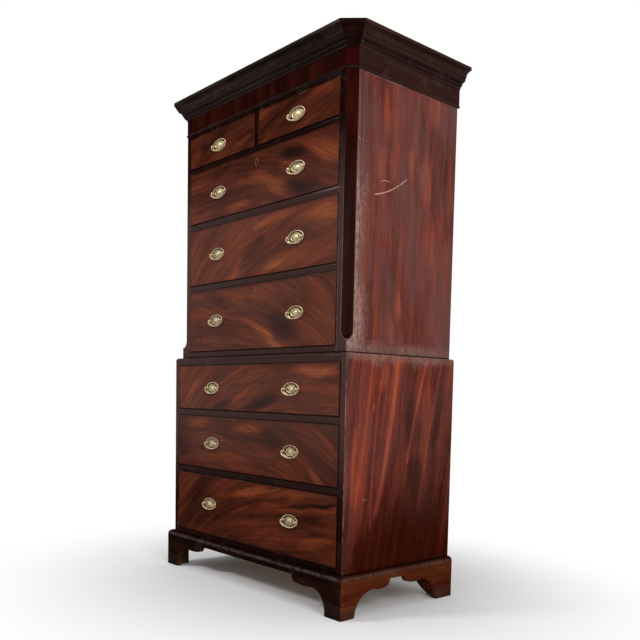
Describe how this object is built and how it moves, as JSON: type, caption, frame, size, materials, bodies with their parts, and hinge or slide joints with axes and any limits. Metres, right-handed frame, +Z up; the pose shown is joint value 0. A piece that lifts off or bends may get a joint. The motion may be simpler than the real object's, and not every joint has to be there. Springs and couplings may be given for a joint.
{
  "type": "chest on chest",
  "caption": "Mahogany chest on chest with canted upper corners, moulded cornice, bracket feet and cockbeaded drawers with oval brass handles.",
  "frame": {"origin": "on the floor, under the middle of the plan of the whole chest", "axes": "+X to the right seen from the front, the drawers open towards -Y, +Z up"},
  "size_m": [1.088, 0.562, 1.85],
  "materials": {
    "case_mahogany": "old polished finish, worn",
    "dark_mahogany": "old dark polish",
    "figured_mahogany": "polished figured veneer",
    "drawer_oak": "dry, unpolished",
    "old_pine": "dry, unpolished",
    "old_brass": "aged, rubbed bright",
    "lock_iron": "dull filed iron"
  },
  "bodies": {
    "chest": {"lower_sides": "case_mahogany", "lower_top": "case_mahogany", "lower_rails": "dark_mahogany", "lower_linings": "drawer_oak", "lower_backboards": "old_pine", "base_moulding": "dark_mahogany", "plinth_blocks": "old_pine", "front_feet": "case_mahogany", "rear_feet": "case_mahogany", "upper_sides": "case_mahogany", "corner_posts": "dark_mahogany", "upper_rails": "dark_mahogany", "upper_linings": "drawer_oak", "upper_backboards": "old_pine", "frieze": "figured_mahogany", "cornice": "dark_mahogany"},
    "lower_bottom_drawer": {"lower_bottom_drawer_box": "drawer_oak", "lower_bottom_drawer_face": "figured_mahogany", "lower_bottom_drawer_brasses": "old_brass"},
    "lower_bottom_drawer_bail_left": {"lower_bottom_drawer_bail_left": "old_brass"},
    "lower_bottom_drawer_bail_right": {"lower_bottom_drawer_bail_right": "old_brass"},
    "lower_bottom_drawer_bolt": {"lower_bottom_drawer_bolt": "lock_iron"},
    "lower_middle_drawer": {"lower_middle_drawer_box": "drawer_oak", "lower_middle_drawer_face": "figured_mahogany", "lower_middle_drawer_brasses": "old_brass"},
    "lower_middle_drawer_bail_left": {"lower_middle_drawer_bail_left": "old_brass"},
    "lower_middle_drawer_bail_right": {"lower_middle_drawer_bail_right": "old_brass"},
    "lower_middle_drawer_bolt": {"lower_middle_drawer_bolt": "lock_iron"},
    "lower_top_drawer": {"lower_top_drawer_box": "drawer_oak", "lower_top_drawer_face": "figured_mahogany", "lower_top_drawer_brasses": "old_brass"},
    "lower_top_drawer_bail_left": {"lower_top_drawer_bail_left": "old_brass"},
    "lower_top_drawer_bail_right": {"lower_top_drawer_bail_right": "old_brass"},
    "lower_top_drawer_bolt": {"lower_top_drawer_bolt": "lock_iron"},
    "upper_bottom_drawer": {"upper_bottom_drawer_box": "drawer_oak", "upper_bottom_drawer_face": "figured_mahogany", "upper_bottom_drawer_brasses": "old_brass"},
    "upper_bottom_drawer_bail_left": {"upper_bottom_drawer_bail_left": "old_brass"},
    "upper_bottom_drawer_bail_right": {"upper_bottom_drawer_bail_right": "old_brass"},
    "upper_bottom_drawer_bolt": {"upper_bottom_drawer_bolt": "lock_iron"},
    "upper_middle_drawer": {"upper_middle_drawer_box": "drawer_oak", "upper_middle_drawer_face": "figured_mahogany", "upper_middle_drawer_brasses": "old_brass"},
    "upper_middle_drawer_bail_left": {"upper_middle_drawer_bail_left": "old_brass"},
    "upper_middle_drawer_bail_right": {"upper_middle_drawer_bail_right": "old_brass"},
    "upper_middle_drawer_bolt": {"upper_middle_drawer_bolt": "lock_iron"},
    "upper_top_drawer": {"upper_top_drawer_box": "drawer_oak", "upper_top_drawer_face": "figured_mahogany", "upper_top_drawer_brasses": "old_brass"},
    "upper_top_drawer_bail_left": {"upper_top_drawer_bail_left": "old_brass"},
    "upper_top_drawer_bail_right": {"upper_top_drawer_bail_right": "old_brass"},
    "upper_top_drawer_bolt": {"upper_top_drawer_bolt": "lock_iron"},
    "short_left_drawer": {"short_left_drawer_box": "drawer_oak", "short_left_drawer_face": "figured_mahogany", "short_left_drawer_brasses": "old_brass"},
    "short_left_drawer_bail": {"short_left_drawer_bail": "old_brass"},
    "short_right_drawer": {"short_right_drawer_box": "drawer_oak", "short_right_drawer_face": "figured_mahogany", "short_right_drawer_brasses": "old_brass"},
    "short_right_drawer_bail": {"short_right_drawer_bail": "old_brass"}
  },
  "joints": [
    {"name": "lower_bottom_drawer_slide", "type": "slide", "parent": "chest", "child": "lower_bottom_drawer", "axis": [0, -1, 0], "range_m": [0, 0.34]},
    {"name": "lower_bottom_drawer_bail_left_swing", "type": "hinge", "parent": "lower_bottom_drawer", "child": "lower_bottom_drawer_bail_left", "pos_m": [-0.253, -0.257, 0.2815], "axis": [-1, 0, 0], "range_deg": [-8, 188]},
    {"name": "lower_bottom_drawer_bail_right_swing", "type": "hinge", "parent": "lower_bottom_drawer", "child": "lower_bottom_drawer_bail_right", "pos_m": [0.246, -0.257, 0.2815], "axis": [-1, 0, 0], "range_deg": [-8, 188]},
    {"name": "lower_bottom_drawer_bolt_throw", "type": "slide", "parent": "lower_bottom_drawer", "child": "lower_bottom_drawer_bolt", "axis": [0, 0, 1], "range_m": [0, 0.007]},
    {"name": "lower_middle_drawer_slide", "type": "slide", "parent": "chest", "child": "lower_middle_drawer", "axis": [0, -1, 0], "range_m": [0, 0.34]},
    {"name": "lower_middle_drawer_bail_left_swing", "type": "hinge", "parent": "lower_middle_drawer", "child": "lower_middle_drawer_bail_left", "pos_m": [-0.24, -0.257, 0.5195], "axis": [-1, 0, 0], "range_deg": [-8, 188]},
    {"name": "lower_middle_drawer_bail_right_swing", "type": "hinge", "parent": "lower_middle_drawer", "child": "lower_middle_drawer_bail_right", "pos_m": [0.244, -0.257, 0.5195], "axis": [-1, 0, 0], "range_deg": [-8, 188]},
    {"name": "lower_middle_drawer_bolt_throw", "type": "slide", "parent": "lower_middle_drawer", "child": "lower_middle_drawer_bolt", "axis": [0, 0, 1], "range_m": [0, 0.007]},
    {"name": "lower_top_drawer_slide", "type": "slide", "parent": "chest", "child": "lower_top_drawer", "axis": [0, -1, 0], "range_m": [0, 0.34]},
    {"name": "lower_top_drawer_bail_left_swing", "type": "hinge", "parent": "lower_top_drawer", "child": "lower_top_drawer_bail_left", "pos_m": [-0.242, -0.257, 0.7328], "axis": [-1, 0, 0], "range_deg": [-8, 188]},
    {"name": "lower_top_drawer_bail_right_swing", "type": "hinge", "parent": "lower_top_drawer", "child": "lower_top_drawer_bail_right", "pos_m": [0.242, -0.257, 0.7328], "axis": [-1, 0, 0], "range_deg": [-8, 188]},
    {"name": "lower_top_drawer_bolt_throw", "type": "slide", "parent": "lower_top_drawer", "child": "lower_top_drawer_bolt", "axis": [0, 0, 1], "range_m": [0, 0.007]},
    {"name": "upper_bottom_drawer_slide", "type": "slide", "parent": "chest", "child": "upper_bottom_drawer", "axis": [0, -1, 0], "range_m": [0, 0.33]},
    {"name": "upper_bottom_drawer_bail_left_swing", "type": "hinge", "parent": "upper_bottom_drawer", "child": "upper_bottom_drawer_bail_left", "pos_m": [-0.251, -0.238, 0.99175], "axis": [-1, 0, 0], "range_deg": [-8, 188]},
    {"name": "upper_bottom_drawer_bail_right_swing", "type": "hinge", "parent": "upper_bottom_drawer", "child": "upper_bottom_drawer_bail_right", "pos_m": [0.233, -0.238, 0.99175], "axis": [-1, 0, 0], "range_deg": [-8, 188]},
    {"name": "upper_bottom_drawer_bolt_throw", "type": "slide", "parent": "upper_bottom_drawer", "child": "upper_bottom_drawer_bolt", "axis": [0, 0, 1], "range_m": [0, 0.007]},
    {"name": "upper_middle_drawer_slide", "type": "slide", "parent": "chest", "child": "upper_middle_drawer", "axis": [0, -1, 0], "range_m": [0, 0.33]},
    {"name": "upper_middle_drawer_bail_left_swing", "type": "hinge", "parent": "upper_middle_drawer", "child": "upper_middle_drawer_bail_left", "pos_m": [-0.244, -0.238, 1.243], "axis": [-1, 0, 0], "range_deg": [-8, 188]},
    {"name": "upper_middle_drawer_bail_right_swing", "type": "hinge", "parent": "upper_middle_drawer", "child": "upper_middle_drawer_bail_right", "pos_m": [0.229, -0.238, 1.243], "axis": [-1, 0, 0], "range_deg": [-8, 188]},
    {"name": "upper_middle_drawer_bolt_throw", "type": "slide", "parent": "upper_middle_drawer", "child": "upper_middle_drawer_bolt", "axis": [0, 0, 1], "range_m": [0, 0.007]},
    {"name": "upper_top_drawer_slide", "type": "slide", "parent": "chest", "child": "upper_top_drawer", "axis": [0, -1, 0], "range_m": [0, 0.33]},
    {"name": "upper_top_drawer_bail_left_swing", "type": "hinge", "parent": "upper_top_drawer", "child": "upper_top_drawer_bail_left", "pos_m": [-0.238, -0.238, 1.47215], "axis": [-1, 0, 0], "range_deg": [-8, 188]},
    {"name": "upper_top_drawer_bail_right_swing", "type": "hinge", "parent": "upper_top_drawer", "child": "upper_top_drawer_bail_right", "pos_m": [0.227, -0.238, 1.47215], "axis": [-1, 0, 0], "range_deg": [-8, 188]},
    {"name": "upper_top_drawer_bolt_throw", "type": "slide", "parent": "upper_top_drawer", "child": "upper_top_drawer_bolt", "axis": [0, 0, 1], "range_m": [0, 0.007]},
    {"name": "short_left_drawer_slide", "type": "slide", "parent": "chest", "child": "short_left_drawer", "axis": [0, -1, 0], "range_m": [0, 0.33]},
    {"name": "short_left_drawer_bail_swing", "type": "hinge", "parent": "short_left_drawer", "child": "short_left_drawer_bail", "pos_m": [-0.239, -0.238, 1.6475], "axis": [-1, 0, 0], "range_deg": [-8, 188]},
    {"name": "short_right_drawer_slide", "type": "slide", "parent": "chest", "child": "short_right_drawer", "axis": [0, -1, 0], "range_m": [0, 0.33]},
    {"name": "short_right_drawer_bail_swing", "type": "hinge", "parent": "short_right_drawer", "child": "short_right_drawer_bail", "pos_m": [0.224, -0.238, 1.6475], "axis": [-1, 0, 0], "range_deg": [-8, 188]}
  ]
}
